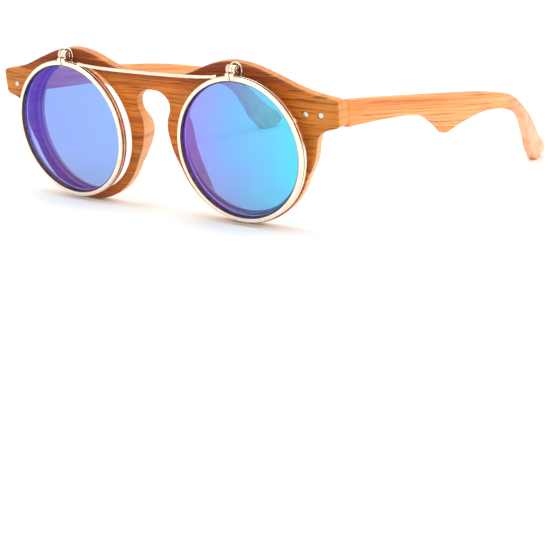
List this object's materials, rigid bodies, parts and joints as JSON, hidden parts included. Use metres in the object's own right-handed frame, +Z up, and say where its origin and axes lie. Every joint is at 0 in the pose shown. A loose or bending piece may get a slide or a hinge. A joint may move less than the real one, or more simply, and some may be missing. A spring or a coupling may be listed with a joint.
{
  "type": "flip-up sunglasses",
  "caption": "Round sunglasses with an imitation-wood front and temples; mirrored round sun lenses in a thin metal frame flip up on small brow hinges, over clear lenses.",
  "frame": {"origin": "bottom centre of the bounding box, on the surface the glasses stand on", "axes": "+Z up; -Y is the way the wearer looks, so the temples run back along +Y; +X is the wearer's left"},
  "size_m": [0.1438, 0.1686, 0.0522],
  "materials": {
    "wood_front": "satin imitation wood, red-brown with dark streaks",
    "wood_temple": "satin imitation wood, pale orange with thin red-brown grain",
    "clear_lens": "clear",
    "sun_lens": "violet-blue mirror coating over a brown-grey tint",
    "gold": "polished pale gold",
    "steel": "polished"
  },
  "bodies": {
    "front": {"frame_front": "wood_front", "clear_lens_left": "clear_lens", "clear_lens_right": "clear_lens", "front_hinge_leaf_left": "steel", "front_hinge_leaf_right": "steel", "endpiece_rivet_left_inner": "steel", "endpiece_rivet_left_outer": "steel", "endpiece_rivet_right_inner": "steel", "endpiece_rivet_right_outer": "steel", "hinge_screw_left": "steel", "hinge_screw_right": "steel", "flip_bracket_left": "gold", "flip_bracket_right": "gold", "flip_bracket_screw_left": "steel", "flip_bracket_screw_right": "steel", "flip_pin_left": "steel", "flip_pin_right": "steel"},
    "temple_arm_left": {"temple_left": "wood_temple", "temple_hinge_leaf_left": "steel"},
    "temple_arm_right": {"temple_right": "wood_temple", "temple_hinge_leaf_right": "steel"},
    "flip_up": {"flip_rim_left": "gold", "flip_rim_right": "gold", "sun_lens_left": "sun_lens", "sun_lens_right": "sun_lens", "rim_closing_screw_left": "steel", "rim_closing_screw_right": "steel", "flip_bridge_wire": "gold"}
  },
  "joints": [
    {"name": "flip", "type": "hinge", "parent": "front", "child": "flip_up", "pos_m": [0, -0.08241, 0.04982], "axis": [-1, 0, 0], "range_deg": [0, 150]},
    {"name": "fold_left", "type": "hinge", "parent": "front", "child": "temple_arm_left", "pos_m": [0.0622, -0.07023, 0.03818], "axis": [0, -0.127, 0.9919], "range_deg": [0, 92]},
    {"name": "fold_right", "type": "hinge", "parent": "front", "child": "temple_arm_right", "pos_m": [-0.0622, -0.07023, 0.03818], "axis": [0, 0.127, -0.9919], "range_deg": [0, 84]}
  ]
}
